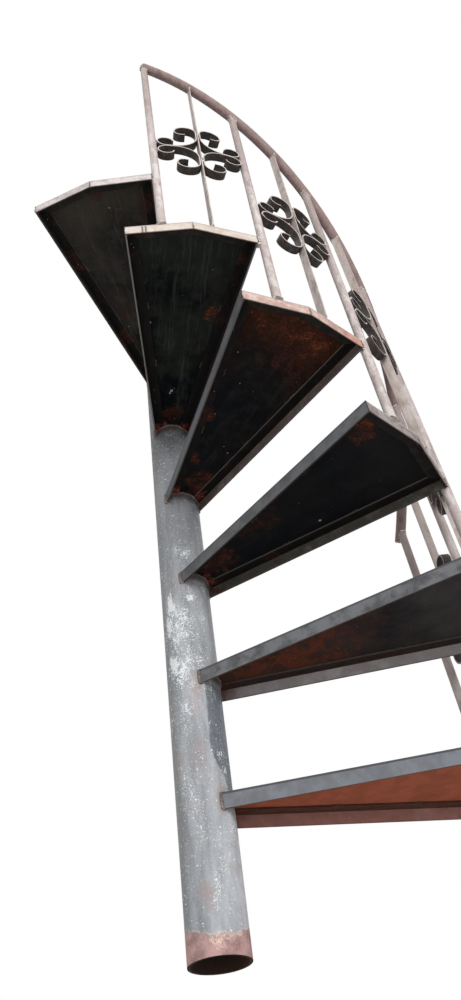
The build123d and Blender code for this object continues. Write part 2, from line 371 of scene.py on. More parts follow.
plateLook = {
    "black": (0.0045, 0.0055, 0.0075),
    "brownBlack": (0.0120, 0.0095, 0.0085),
    # darker and browner paint of the treads that differ from black
    "base": {2: ((0.0165, 0.0160, 0.0170), (0.0400, 0.0310, 0.0295)),
             5: ((0.0020, 0.0028, 0.0042), (0.0170, 0.0195, 0.0150)),
             6: ((0.0120, 0.0105, 0.0098), (0.0330, 0.0285, 0.0255))},
    "streak": {5: (0.050, 0.060, 0.054), 6: (0.060, 0.054, 0.044)},
    "streakPlain": (0.034, 0.035, 0.034),
    "grain": {1: (0.460, 0.190, 0.120), 4: (0.062, 0.024, 0.013)},
    "grainPlain": (0.046, 0.040, 0.036),
    "lime": (0.40, 0.40, 0.38),
    "rustDeep": (0.030, 0.0115, 0.0075),
    # walking side, and cut edges beside the angles and the rim
    "topDark": (0.05, 0.043, 0.038),
    "topDust": (0.115, 0.098, 0.080),
    "topGrain": (0.20, 0.18, 0.16),
    "sideDark": (0.07, 0.07, 0.075),
    "sideGrey": (0.105, 0.108, 0.115),
    "rimDark": (0.33, 0.27, 0.24),
    "rimCream": (0.56, 0.49, 0.44),
    # paint under the outer end of each tread, under its middle, and how much brown there is all over
    "outer": {1: (0.330, 0.130, 0.085), 2: (0.068, 0.062, 0.062), 3: (0.014, 0.013, 0.014),
              4: (0.030, 0.0095, 0.0042), 5: (0.017, 0.019, 0.015), 6: (0.042, 0.036, 0.029)},
    "brown": {1: 1.0, 2: 0.80, 3: 0.15, 4: 0.32, 5: 0.12, 6: 0.45},
    "streaky": {1: 0.25, 2: 0.45, 3: 0.12, 4: 0.25, 5: 0.55, 6: 0.80},
    "grainy": {1: 0.5, 2: 0.4, 3: 0.12, 4: 0.36, 5: 0.42, 6: 1.0},
    # own place (x, y), radius and strength of the rust under each tread
    "patches": {
        1: [(0.35, 0.02, 0.55, 1.0), (0.12, 0.0, 0.20, 0.95)],
        2: [(0.16, 0.0, 0.17, 0.95), (0.30, -0.03, 0.10, 0.30)],
        3: [(0.548, -0.100, 0.024, 1.0), (0.525, -0.085, 0.034, 0.50), (0.099, -0.028, 0.055, 0.55),
            (0.235, -0.058, 0.055, 0.25)],
        4: [(0.550, -0.060, 0.045, 0.60), (0.556, -0.010, 0.040, 0.80), (0.535, 0.045, 0.050, 0.95),
            (0.520, 0.030, 0.095, 0.30), (0.44, 0.085, 0.06, 0.20),
            (0.278, -0.066, 0.024, 0.7), (0.155, -0.041, 0.024, 0.6), (0.09, 0.02, 0.045, 0.7)],
        5: [(0.384, 0.064, 0.019, 1.0), (0.402, 0.094, 0.011, 0.75), (0.365, 0.055, 0.009, 0.8),
            (0.09, 0.0, 0.030, 0.28)],
        6: [(0.560, 0.0, 0.020, 0.6), (0.496, 0.12, 0.05, 0.4), (0.30, 0.085, 0.05, 0.25),
            (0.25, -0.06, 0.05, 0.25)],
    },
    "vivid": {1: 0.90, 2: 0.40, 3: 0.80, 4: 0.80, 5: 1.0},
    "scattered": {1: 0.12, 2: 0.25, 3: 0.45, 4: 0.20, 5: 0.45, 6: 0.45},
    # how even the rust is, and how far it has turned to a light crust
    "even": {1: 0.85},
    "crust": {1: 0.90, 2: 0.15},
    "crustTone": (0.440, 0.125, 0.070),
    # chips of lime or bare metal that show pale
    "chips": {3: [(0.33, 0.05, 0.0035)], 4: [(0.20, 0.03, 0.003)],
              5: [(0.352, -0.081, 0.0065), (0.349, -0.074, 0.0035), (0.160, -0.010, 0.0042),
                  (0.152, -0.013, 0.0026), (0.168, -0.004, 0.0016), (0.405, 0.085, 0.0030)]},
}


def plateFinish(number):
    look = plateLook
    material, tree, shader = finish(f"treadPlate{number}", 0.78, 0.05)
    spot = coordinates(tree, number)
    edges = use(treadEdges, spot)
    lines = use(streaks, spot, Seed=number * 3.1)
    grains = gritAt(spot, 300.0, number * 1.9)
    wide = ramp(cloud(spot, 9.0, 5.0, 0.6, number * 1.7), 0.40, 0.60)
    dark, brown = look["base"].get(number, (look["black"], look["brownBlack"]))
    share = 0.8 if number in look["base"] else 0.35 + 0.65 * look["brown"][number]
    paint = coat(dark, brown, wide, share)
    ragged = sums("MULTIPLY_ADD", cloud(spot, 14.0, 5.0, 0.62, number), 0.30, edges["Rim"])
    outer = ramp(ragged, 0.15, 0.34, 1.0, 0.0)
    paint = coat(paint, look["outer"][number], outer, 0.85)
    # lengthwise wipes and drips, fine and faint
    drips = times(lines["Mask"], lines["Drips"])
    wiped = look["streak"].get(number, look["streakPlain"])
    paint = coat(paint, wiped, drips, look["streaky"][number])
    flecks = times(grains, ramp(cloud(spot, 30.0, 6.0, 0.68, number * 2.7), 0.47, 0.62))
    fleck = blend(outer, look["grainPlain"], look["grain"].get(number, look["grainPlain"]))
    paint = coat(paint, fleck, flecks, look["grainy"][number])
    rust = rustAt(spot, 34.0, 0.52, number * 5.3)
    under = -flight["plate"]
    masks = [times(patchAt(spot, (x, y, under), radius, 0.9, number + index * 2.0), strength)
             for index, (x, y, radius, strength) in enumerate(look["patches"][number])]
    least = look["even"].get(number, 0.35)
    showing = times(strongest(masks), ramp(rust["Mask"], 0.0, 1.0, least, 1.0))
    tone = blend(look["vivid"].get(number, 0.30), look["rustDeep"], rust["Color"])
    tone = blend(look["crust"].get(number, 0.0), tone, look["crustTone"])
    paint = blend(showing, paint, tone)
    paint = redden(spot, paint, lumpLook["places"].get(number, ()))
    scattered = rustAt(spot, 15.0, 0.30 + 0.10 * look["brown"][number], number * 9.7)
    brownish = blend(0.35, look["rustDeep"], scattered["Color"])
    paint = coat(paint, brownish, scattered["Mask"], look["scattered"][number])
    dots = specksAt(spot, 120.0, 0.16, 0.035, number * 1.3)
    chips = [patchAt(spot, (x, y, under), radius, 0.8, x * 40.0)
             for x, y, radius in look["chips"].get(number, ())]
    paint = coat(paint, look["lime"], strongest([dots, *chips]), 0.75)
    # the walking side is dusty and worn to bare brown steel
    facing = parts(put(tree, "ShaderNodeNewGeometry").outputs["Normal"])
    dust = cloud(spot, 30.0, 6.0, 0.65, number * 2.9)
    worn = rustAt(spot, 9.0, 0.5, number * 4.1)
    walked = blend(dust, look["topDark"], look["topDust"])
    walked = coat(walked, worn["Color"], worn["Mask"], 0.75)
    walked = coat(walked, look["topGrain"], grains, 0.25)
    paint = blend(ramp(facing[2], 0.4, 0.6), paint, walked)
    # cut edges take the colour of the angle beside them
    upright = ramp(sums("ABSOLUTE", facing[2]), 0.4, 0.6, 1.0, 0.0)
    byRim = ramp(edges["Rim"], 0.0005, 0.0015, 1.0, 0.0)
    cutSide = blend(dust, look["sideDark"], look["sideGrey"])
    cutRim = blend(dust, look["rimDark"], look["rimCream"])
    paint = blend(upright, paint, blend(byRim, cutSide, cutRim))
    gloss = ramp(plus(times(showing, 0.6), dust), 0.3, 1.1, 0.6, 0.9)
    relief = plus(times(lines["Fine"], 0.5), times(rust["Height"], 1.5))
    dress(shader, paint, gloss, plus(relief, grains), 0.30, 0.0010)
    return material


# levels of the tread's frame: the seam, which collects dirt and painted shade, the lower edge, which is worn, and
# the free edge, which is worn and carries a painted highlight
seamDepth = flight["plate"] + flight["gap"]
lowerDepth = flight["plate"] + flight["leg"]
freeEdge = flight["leg"] - flight["gap"]

sideLook = {
    # outer faces, darker from the lowest tread to the highest
    "outer": {1: (0.208, 0.219, 0.245), 2: (0.158, 0.161, 0.170), 3: (0.121, 0.123, 0.131),
              4: (0.120, 0.129, 0.141), 5: (0.075, 0.074, 0.074), 6: (0.070, 0.066, 0.062)},
    "outerDark": (0.068, 0.068, 0.072),
    "outerGrain": (0.19, 0.185, 0.18),
    "outerEven": {1: 0.6},
    # inner faces of the front angles, from paint to bare grime
    "inner": {1: (0.420, 0.200, 0.165), 2: (0.330, 0.290, 0.288), 3: (0.062, 0.054, 0.046),
              4: (0.115, 0.088, 0.074), 5: (0.014, 0.012, 0.011), 6: (0.016, 0.013, 0.011)},
    "innerLight": {1: (0.560, 0.310, 0.270), 2: (0.520, 0.475, 0.472), 3: (0.165, 0.155, 0.138),
                   4: (0.230, 0.190, 0.165), 5: (0.030, 0.026, 0.023), 6: (0.038, 0.030, 0.025)},
    "innerRust": {1: 0.15, 2: 0.12, 4: 0.20},
    # undersides of the flat legs, dark and light
    "legs": {1: ((0.070, 0.030, 0.021), (0.180, 0.085, 0.062)), 2: ((0.030, 0.018, 0.015), (0.060, 0.040, 0.034))},
    "legsPlain": ((0.0055, 0.0048, 0.0045), (0.0170, 0.0145, 0.0130)),
    "lime": (0.38, 0.38, 0.36),
    # pale of worn edges; on the free edges it is also a painted highlight
    "worn": (0.20, 0.19, 0.175),
    "seamDirtAndShade": (0.014, 0.012, 0.011),
    # how brown the frame of each tread has turned
    "brown": {1: 0.75, 2: 0.35, 3: 0.20, 4: 0.30, 5: 0.12, 6: 0.30},
    # how far the free edges of the front and the rear legs are worn bright and carry a painted highlight
    "freeFront": {2: 0.35, 3: 0.45, 4: 0.55, 6: 0.20},
    "freeRear": {6: 0.30},
    "lower": {1: 0.25, 2: 0.35, 3: 0.30, 4: 0.45, 5: 0.90, 6: 0.30},
}


def sideFinish(number):
    look = sideLook
    material, tree, shader = finish(f"treadSide{number}", 0.66, 0.12)
    spot = coordinates(tree, number)
    edges = use(treadEdges, spot)
    lines = use(streaks, spot, Seed=number * 2.3)
    grains = gritAt(spot, 320.0, number * 1.2)
    normal = parts(put(tree, "ShaderNodeNewGeometry").outputs["Normal"])
    flat = larger(ramp(sums("ABSOLUTE", normal[2]), 0.4, 0.6), ramp(edges["Side"], 0.0240, 0.0248))
    outside = ramp(edges["Side"], 0.0006, 0.0012, 1.0, 0.0)
    front = ramp(edges["Across"], -0.002, 0.002)
    mottle = cloud(spot, 34.0, 6.0, 0.62, number * 1.9)
    wide = ramp(cloud(spot, 11.0, 4.0, 0.55, number * 0.9), 0.35, 0.65)
    clean = ramp(mottle, 0.36, 0.60, look["outerEven"].get(number, 0.0))
    outer = blend(clean, look["outerDark"], look["outer"][number])
    outer = coat(outer, look["outerGrain"], grains, 0.22)
    inner = coat(look["inner"][number], look["innerLight"][number], wide, ramp(mottle, 0.40, 0.60))
    inner = coat(inner, look["innerLight"][number], grains, 0.35)
    rust = rustAt(spot, 17.0, 0.36 + 0.25 * look["brown"][number], number * 3.7)
    rusting = look["innerRust"].get(number, 0.25 + 0.6 * look["brown"][number])
    inner = coat(inner, rust["Color"], rust["Mask"], rusting)
    paint = blend(outside, inner, outer)
    legDark, legLight = look["legs"].get(number, look["legsPlain"])
    legs = coat(legDark, legLight, lines["Drips"], 0.5)
    legs = coat(legs, legLight, grains, 0.3)
    rusting = look["innerRust"].get(number, 0.12 + 0.6 * look["brown"][number])
    legs = coat(legs, rust["Color"], rust["Mask"], rusting)
    paint = blend(flat, paint, legs)
    # worn lower edge of the upright leg, and free edge of the flat leg, worn pale with a painted highlight
    lower = lineAt(spot, plus(edges["Level"], lowerDepth), 0.0013, 0.45, 26.0)
    paint = coat(paint, look["worn"], lower, look["lower"][number])
    freeWearAndHighlight = lineAt(spot, minus(edges["Side"], freeEdge), 0.0011, 0.35, 22.0)
    frontShare, rearShare = look["freeFront"].get(number, 0.0), look["freeRear"].get(number, 0.0)
    shares = blend(front, (rearShare,) * 3, (frontShare,) * 3)
    paint = coat(paint, look["worn"], freeWearAndHighlight, shares)
    # a dark line in the seam under the plate: dirt and painted shade
    seamDirtAndShade = lineAt(spot, plus(edges["Level"], seamDepth), 0.0008, 0.15, 18.0)
    paint = coat(paint, look["seamDirtAndShade"], seamDirtAndShade, 0.55)
    # rust and heat marks near the pole
    along = parts(spot)[0]
    root = ramp(sums("MULTIPLY_ADD", mottle, 0.07, along), 0.070, 0.125, 1.0, 0.0)
    burnt = rustAt(spot, 40.0, 0.50, number * 6.1)
    inward = times(root, sums("MULTIPLY_ADD", outside, -0.75, 1.0))
    paint = coat(paint, burnt["Color"], inward, times(burnt["Mask"], 0.75))
    paint = redden(spot, paint, lumpLook["places"].get(number, ()))
    white = specksAt(spot, 150.0, 0.20, 0.06, number * 2.2)
    paint = coat(paint, look["lime"], white, 0.5)
    relief = plus(times(grains, 0.7), times(rust["Height"], 0.8))
    dress(shader, paint, ramp(mottle, 0.2, 0.8, 0.52, 0.82), plus(relief, times(wide, 0.4)), 0.32, 0.0009)
    return material


rimLook = {
    # chalky face of each rim, and what shows through it; tread 3's are darker, a painted shade where its rim turns
    # away from the light
    "face": {1: (0.40, 0.30, 0.27), 2: (0.40, 0.32, 0.29), 3: (0.33, 0.29, 0.29), 4: (0.60, 0.47, 0.42),
             5: (0.61, 0.54, 0.48), 6: (0.58, 0.53, 0.52)},
    "under": {1: (0.24, 0.13, 0.10), 2: (0.26, 0.17, 0.14), 3: (0.17, 0.135, 0.13), 4: (0.42, 0.27, 0.23),
              5: (0.49, 0.41, 0.355), 6: (0.38, 0.335, 0.325)},
    "inside": (0.013, 0.011, 0.0095),
    "insideLight": (0.034, 0.027, 0.022),
    "dirt": (0.15, 0.10, 0.08),
    "red": (0.38, 0.105, 0.055),
    "redLight": (0.52, 0.24, 0.16),
    "redness": {1: 0.40, 2: 0.35, 3: 0.22, 4: 0.62, 5: 0.04, 6: 0.04},
    "rusty": {1: 0.6, 2: 0.5, 3: 0.5, 4: 0.35, 5: 0.10, 6: 0.15},
    "marks": {5: (-0.1024, -0.0955)},  # own y of two saw marks across the rim
    "markTone": (0.10, 0.09, 0.085),
}


def rimFinish(number):
    look = rimLook
    material, tree, shader = finish(f"treadRim{number}", 0.75, 0.2)
    spot = coordinates(tree, number)
    edges = use(treadEdges, spot)
    mottle = cloud(spot, 60.0, 6.0, 0.65, number * 1.1)
    wide = cloud(spot, 12.0, 4.0, 0.55, number * 3.3)
    grains = gritAt(spot, 300.0, number * 2.6)
    cover = ramp(sums("MULTIPLY_ADD", wide, 0.5, mottle), 0.62, 0.86)
    paint = blend(cover, look["under"][number], look["face"][number])
    paint = coat(paint, look["under"][number], grains, 0.25)
    rust = rustAt(spot, 30.0, 0.30 + 0.25 * look["rusty"][number], number * 7.7)
    forward = ramp(edges["Across"], 0.0, 0.125)
    red = times(times(forward, ramp(wide, 0.38, 0.52)), look["redness"][number])
    paint = blend(red, paint, blend(mottle, look["red"], look["redLight"]))
    brownish = blend(0.35, rust["Color"], look["dirt"])
    paint = coat(paint, brownish, rust["Mask"], look["rusty"][number])
    # dark lines: at the seam under the plate, dirt with painted shade; at the lower edge and at the kink, dirt
    seamDirtAndShade = lineAt(spot, plus(edges["Level"], seamDepth), 0.0009, 0.45, 25.0)
    low = lineAt(spot, plus(edges["Level"], lowerDepth), 0.0020, 0.55, 40.0)
    kink = lineAt(spot, edges["Across"], 0.0030, 0.7, 90.0)
    dirtAndShade = larger(times(seamDirtAndShade, 0.4), larger(times(low, 0.6), times(kink, 0.7)))
    paint = blend(dirtAndShade, paint, look["dirt"])
    for mark in look["marks"].get(number, ()):
        line = lineAt(spot, minus(edges["Across"], mark), 0.0024, 0.2, 60.0)
        paint = coat(paint, look["markTone"], line, 0.85)
    inside = ramp(edges["Rim"], 0.0008, 0.0016)
    hidden = blend(ramp(mottle, 0.4, 0.7), look["inside"], look["insideLight"])
    paint = blend(inside, paint, hidden)
    relief = plus(mottle, times(rust["Height"], 0.8))
    dress(shader, paint, ramp(mottle, 0.2, 0.8, 0.66, 0.9), relief, 0.35, 0.0010)
    return material


poleLook = {
    "grey": (0.420, 0.437, 0.462),
    "dark": (0.195, 0.204, 0.218),
    "mauve": (0.310, 0.282, 0.282),
    "shadeSide": (0.185, 0.182, 0.170),
    "slate": (0.074, 0.088, 0.110),
    "grain": (0.50, 0.51, 0.52),
    "lime": (0.80, 0.82, 0.82),
    "heat": (0.070, 0.052, 0.042),
    "weldTint": (0.370, 0.295, 0.280),
    # degrees round the pole, level, stretch upwards, radius and strength
    "limePatches": [
        (-42, 0.512, 2.0, 0.026, 1.0), (-40, 0.655, 2.2, 0.023, 1.0), (-52, 0.605, 2.4, 0.024, 1.0),
        (-8, 0.520, 1.2, 0.022, 0.70), (20, 0.515, 1.3, 0.022, 0.55), (10, 0.665, 1.2, 0.022, 0.65),
        (50, 0.690, 1.3, 0.020, 0.65), (-2, 0.600, 1.8, 0.028, 0.50), (8, 0.785, 1.6, 0.028, 0.55),
        (-16, 0.800, 1.5, 0.026, 0.35), (-22, 0.415, 1.5, 0.024, 0.60), (-30, 0.360, 1.8, 0.024, 0.30),
        (42, 0.322, 1.5, 0.014, 0.60), (50, 0.294, 1.2, 0.014, 0.65), (-10, 0.200, 2.5, 0.035, 0.30),
        (20, 0.170, 2.0, 0.030, 0.35), (-20, 0.910, 1.2, 0.024, 0.25), (-25, 0.600, 2.6, 0.046, 0.66),
        (-20, 0.500, 2.2, 0.042, 0.65), (0, 0.580, 2.5, 0.044, 0.38)],
    "pinkPatches": [
        (4, 0.455, 2.0, 0.016, 0.80), (0, 0.425, 2.5, 0.015, 0.55), (8, 0.480, 1.0, 0.014, 0.9),
        (36, 0.240, 2.0, 0.014, 0.90), (40, 0.258, 1.0, 0.012, 0.85), (-2, 0.330, 3.0, 0.016, 0.50),
        (-12, 0.088, 2.6, 0.0130, 0.95), (-52, 0.310, 3.0, 0.018, 0.45), (-26, 0.722, 1.0, 0.012, 0.7)],
    "foot": (0.540, 0.330, 0.310),
    "footDark": (0.270, 0.160, 0.145),
    "footGrain": (0.66, 0.47, 0.44),
    "footCreamAndHighlight": (0.86, 0.66, 0.54),
    # pale spots low on the front of the foot: a painted highlight; the same cream also edges the bare band
    "footHighlightPatches": [
        (-1, 0.024, 1.0, 0.012, 1.0), (1, 0.016, 1.0, 0.008, 0.7), (37, 0.032, 0.7, 0.013, 1.0),
        (18, 0.027, 0.6, 0.016, 0.7)],
    "footSlant": (0.468, 0.066, 1.0),  # upwards across the floor's old level
    "footLevel": 0.0545,
    "bore": (0.050, 0.030, 0.022),
}


def onPole(degrees, level, stretch):  # a place on the pole's surface, in coordinates squeezed upwards
    turn = math.radians(degrees)
    return flight["poleRadius"] * math.cos(turn), flight["poleRadius"] * math.sin(turn), level / stretch


def polePatches(spot, places, ragged, seed, core=0.55):
    masks = []
    for index, (degrees, level, stretch, radius, strength) in enumerate(places):
        squeezed = moved(spot, scale=(1.0, 1.0, 1.0 / stretch))
        centre = onPole(degrees, level, stretch)
        masks.append(times(patchAt(squeezed, centre, radius, ragged, seed + index, core), strength))
    return strongest(masks)


def poleFinish():
    look = poleLook
    material, tree, shader = finish("polePaint", 0.6, 0.28)
    spot = coordinates(tree)
    place = parts(spot)
    around = sums("ARCTAN2", place[1], place[0])

    def roundPole(low, high, start=0.0, end=1.0):  # degrees
        return ramp(around, math.radians(low), math.radians(high), start, end)

    mottle = cloud(spot, 42.0, 6.0, 0.65, 1.0)
    grains = gritAt(spot, 420.0, 7.0)
    coarse = gritAt(spot, 130.0, 9.0)
    runs = stretched(spot, (26.0, 26.0, 4.0), 5.0, 0.6, 2.0)
    paint = blend(ramp(runs, 0.36, 0.64), look["dark"], look["grey"])
    paint = blend(ramp(mottle, 0.46, 0.66, 0.0, 0.7), paint, look["mauve"])
    paint = blend(roundPole(-40, -72, 0.0, 0.7), paint, look["shadeSide"])
    # paler towards the foot; painted shade under the upper treads and on the side away from the light; a painted
    # band of light on the sunny side near the foot
    tone = times(ramp(place[2], 0.40, 0.52, 1.28, 1.0), ramp(place[2], 0.95, 1.12, 1.0, 0.66))
    tone = times(tone, ramp(place[2], 1.05, 1.16, 1.0, 0.42))
    tone = times(tone, roundPole(-38, -8, 0.80, 1.0))
    paintedSunlight = times(ramp(place[2], 0.40, 0.52, 0.12, 0.0), roundPole(10, 45))
    tone = times(tone, plus(paintedSunlight, 1.0))
    paint = put(tree, "ShaderNodeVectorMath", {0: paint, "Scale": tone}, operation="SCALE").outputs["Vector"]
    # a slate patch with a slanting edge below the second tread
    slant = ramp(place[2], 0.262, 0.330, math.radians(52), math.radians(21.5))
    ragged = times(minus(mottle, 0.5), 0.35)
    beyond = minus(plus(around, ragged), slant)
    slate = times(ramp(beyond, -0.02, 0.05), ramp(place[2], 0.452, 0.474, 1.0, 0.0))
    slate = times(slate, times(ramp(place[2], 0.250, 0.262), ramp(around, 1.9, 2.3, 1.0, 0.0)))
    paint = coat(paint, look["slate"], slate, 0.9)
    paint = coat(paint, look["grain"], times(grains, coarse), 0.42)
    paint = coat(paint, look["dark"], minus(1.0, grains), 0.30)
    pinks = polePatches(spot, look["pinkPatches"], 0.9, 3.0, 0.30)
    paint = coat(paint, look["weldTint"], pinks, ramp(grains, 0.0, 1.0, 0.6, 1.0))
    # lime, thick on the side where the pole lay open to the rain
    drift = ramp(stretched(spot, (22.0, 22.0, 9.0), 4.0, 0.6, 5.0), 0.46, 0.66, 0.0, 0.42)
    drift = times(drift, ramp(place[2], 0.72, 0.88, 1.0, 0.2))
    amount = larger(polePatches(spot, look["limePatches"], 0.7, 20.0, -0.15), drift)
    white = limeAt(spot, sums("MULTIPLY_ADD", amount, 0.92, 0.20), 2.0)
    dots = larger(specksAt(spot, 190.0, 0.24, 0.17, 1.0), specksAt(spot, 165.0, 0.30, 0.24, 6.0))
    fineDots = specksAt(spot, 330.0, 0.28, 0.12, 4.0)
    white = larger(white, larger(dots, times(fineDots, 0.8)))
    paint = coat(paint, look["lime"], white, 0.9)
    # scorched and rusty inside the frame of each tread, where it was welded
    index = larger(sums("CEIL", sums("DIVIDE", minus(place[2], flight["firstTop"]), flight["rise"])), 0.0)
    inFlight = sums("LESS_THAN", place[2], treadTop(flight["treads"]))
    below = minus(sums("MULTIPLY_ADD", index, flight["rise"], flight["firstTop"]), place[2])
    turn = minus(around, sums("MULTIPLY_ADD", index, flight["stepAzimuth"], flight["firstAzimuth"]))
    turn = sums("ABSOLUTE", turn)  # away from the middle of the tread, whose frame meets the pole at 1.02
    lumpy = sums("MULTIPLY_ADD", minus(mottle, 0.5), 0.045, below)
    under = times(ramp(lumpy, 0.012, 0.030, 1.0, 0.0), ramp(turn, 0.90, 1.02, 1.0, 0.0))
    under = times(under, inFlight)
    rust = rustAt(spot, 60.0, 0.46, 3.0)
    paint = coat(paint, blend(rust["Mask"], look["heat"], rust["Color"]), under, 0.78)
    ends = sums("ABSOLUTE", minus(turn, 1.02))
    ends = ramp(sums("MULTIPLY_ADD", mottle, -0.16, ends), -0.02, 0.10, 1.0, 0.0)
    ends = times(ends, ramp(lumpy, 0.026, 0.048, 1.0, 0.0))
    ends = times(ends, inFlight)
    paint = coat(paint, look["weldTint"], ends, ramp(grains, 0.0, 1.0, 0.4, 0.8))
    # bare rust where the foot stood in the floor, whose level ran at a slant
    slope = vectors("DOT_PRODUCT", spot, look["footSlant"])
    level = sums("MULTIPLY_ADD", minus(mottle, 0.5), 0.022, slope)
    footDrips = stretched(spot, (62.0, 62.0, 24.0), 5.0, 0.7, 8.0)
    level = sums("MULTIPLY_ADD", minus(footDrips, 0.5), 0.016, level)
    foot = ramp(level, look["footLevel"] - 0.004, look["footLevel"], 1.0, 0.0)
    bare = blend(ramp(mottle, 0.36, 0.60), look["footDark"], look["foot"])
    bare = coat(bare, look["footGrain"], grains, 0.30)
    # a painted highlight of pale spots low on the front of the foot
    footHighlight = polePatches(spot, look["footHighlightPatches"], 0.9, 40.0)
    footHighlightSpots = times(footHighlight, ramp(gritAt(spot, 260.0, 5.0), 0.2, 0.8))
    bare = coat(bare, look["footCreamAndHighlight"], footHighlightSpots, 0.9)
    paint = blend(foot, paint, bare)
    lip = ramp(sums("ABSOLUTE", minus(level, look["footLevel"])), 0.0, 0.0022, 0.55, 0.0)
    paint = coat(paint, look["footCreamAndHighlight"], lip, coarse)
    inside = ramp(vectors("LENGTH", flattened(spot)), 0.0480, 0.0495, 1.0, 0.0)
    paint = blend(inside, paint, blend(rust["Mask"], look["bore"], rust["Color"]))
    dull = larger(larger(white, foot), larger(under, ends))
    gloss = ramp(plus(dull, times(mottle, 0.5)), 0.1, 1.2, 0.48, 0.88)
    relief = plus(times(grains, 0.35), times(white, 0.45))
    relief = minus(relief, times(foot, 0.5))
    relief = sums("MULTIPLY_ADD", larger(under, ends), plus(coarse, rust["Height"]), relief)
    dress(shader, paint, gloss, relief, 0.5, 0.0010)
    return material


railingLook = {
    "post": {"base": (0.43, 0.355, 0.335), "light": (0.66, 0.615, 0.59), "under": (0.25, 0.185, 0.17),
             "chalk": 0.60, "rusty": 0.30},
    "flat": {"base": (0.40, 0.330, 0.300), "light": (0.64, 0.580, 0.545), "under": (0.21, 0.150, 0.130),
             "chalk": 0.45, "rusty": 0.30},
    "rail": {"base": (0.235, 0.160, 0.148), "light": (0.37, 0.295, 0.27), "under": (0.150, 0.094, 0.086),
             "chalk": 0.30, "rusty": 0.28},
}


def barFinish(name):
    look = railingLook[name]
    material, tree, shader = finish(f"{name}Primer", 0.7, 0.25)
    spot = coordinates(tree)
    place = parts(spot)
    grains = gritAt(spot, 340.0, 4.0)
    mottle = cloud(spot, 70.0, 6.0, 0.66, 1.0)
    runs = stretched(spot, (60.0, 60.0, 14.0), 5.0, 0.62, 3.0)
    paint = blend(ramp(runs, 0.30, 0.54), look["under"], look["base"])
    paint = blend(ramp(mottle, 0.50, 0.72, 0.0, 0.55), paint, look["under"])
    flaking = stretched(spot, (48.0, 48.0, 17.0), 6.0, 0.68, 6.0)
    chalk = times(ramp(flaking, 0.46, 0.58), look["chalk"])
    # chalkier towards the foot of every bay, as the railing climbs
    around = sums("ARCTAN2", place[1], place[0])
    climbed = times(minus(flight["firstAzimuth"], around), flight["rise"] / -flight["stepAzimuth"])
    above = minus(place[2], climbed)
    if name == "post":  # browner under the handrail
        paint = blend(ramp(above, 0.66, 0.86, 0.0, 0.85), paint, look["under"])
    lower = ramp(above, 0.45, 0.90, 1.0, 0.20)
    paint = coat(paint, look["light"], chalk, lower)
    paint = coat(paint, look["light"], grains, 0.18)
    rust = rustAt(spot, 40.0, 0.33, 2.0)
    paint = coat(paint, rust["Color"], rust["Mask"], look["rusty"])
    white = limeAt(spot, 0.20, 3.0)
    paint = coat(paint, look["light"], white, 0.55)
    relief = plus(rust["Height"], plus(plus(mottle, times(grains, 0.3)), times(chalk, 0.5)))
    dress(shader, paint, ramp(mottle, 0.2, 0.8, 0.55, 0.85), relief, 0.45, 0.0009)
    return material


scrollLook = {
    "face": (0.036, 0.029, 0.026),
    "faceLight": (0.095, 0.078, 0.070),
    "edge": (0.46, 0.40, 0.37),
    "edgeDark": (0.13, 0.10, 0.085),
}


def scrollFinish():
    look = scrollLook
    material, tree, shader = finish("scrollPaint", 0.6, 0.25)
    spot = coordinates(tree)
    grains = gritAt(spot, 320.0, 6.0)
    mottle = cloud(spot, 75.0, 6.0, 0.65, 1.0)
    paint = blend(ramp(mottle, 0.46, 0.68), look["face"], look["faceLight"])
    paint = coat(paint, look["faceLight"], grains, 0.30)
    rust = rustAt(spot, 36.0, 0.38, 5.0)
    paint = coat(paint, rust["Color"], rust["Mask"], 0.5)
    # the narrow edges face in and out from the pole's axis, and are worn pale
    facing = put(tree, "ShaderNodeNewGeometry").outputs["Normal"]
    along = vectors("DOT_PRODUCT", vectors("NORMALIZE", flattened(spot)), facing)
    narrow = ramp(sums("ABSOLUTE", along), 0.90, 0.97)
    edge = blend(ramp(mottle, 0.26, 0.46), look["edgeDark"], look["edge"])
    paint = blend(narrow, paint, edge)
    dress(shader, paint, ramp(mottle, 0.2, 0.8, 0.5, 0.8), plus(mottle, rust["Height"]), 0.4, 0.0008)
    return material


weldLook = {
    "frame": {"low": (0.030, 0.025, 0.022), "high": (0.095, 0.080, 0.072), "rusty": 0.35, "white": 0.10},
    "pole": {"low": (0.095, 0.085, 0.080), "high": (0.245, 0.215, 0.205), "rusty": 0.20, "white": 0.25},
    "railing": {"low": (0.200, 0.150, 0.135), "high": (0.800, 0.725, 0.680), "rusty": 0.30, "white": 0.30},
}
weldLime = (0.55, 0.54, 0.52)


def weldFinish(name):
    look = weldLook[name]
    material, tree, shader = finish(f"{name}Weld", 0.6, 0.3)
    spot = coordinates(tree)
    grain = cloud(spot, 150.0, 5.0, 0.7, 1.0)
    paint = blend(ramp(grain, 0.38, 0.62), look["low"], look["high"])
    rust = rustAt(spot, 70.0, 0.45, 6.0)
    paint = coat(paint, rust["Color"], rust["Mask"], look["rusty"])
    white = limeAt(spot, look["white"], 8.0)
    paint = coat(paint, weldLime, white, 0.7)
    if name == "pole":
        for number, lumps in lumpLook["places"].items():
            places = [(*(treadPlace(number) @ Vector(lump[:3])), lump[3]) for lump in lumps]
            paint = redden(spot, paint, places)
    dress(shader, paint, ramp(grain, 0.2, 0.8, 0.5, 0.85), plus(grain, rust["Height"]), 0.6, 0.0008)
    return material


def wear(node, material):
    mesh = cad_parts[node].data
    mesh.materials.clear()
    mesh.materials.append(material)


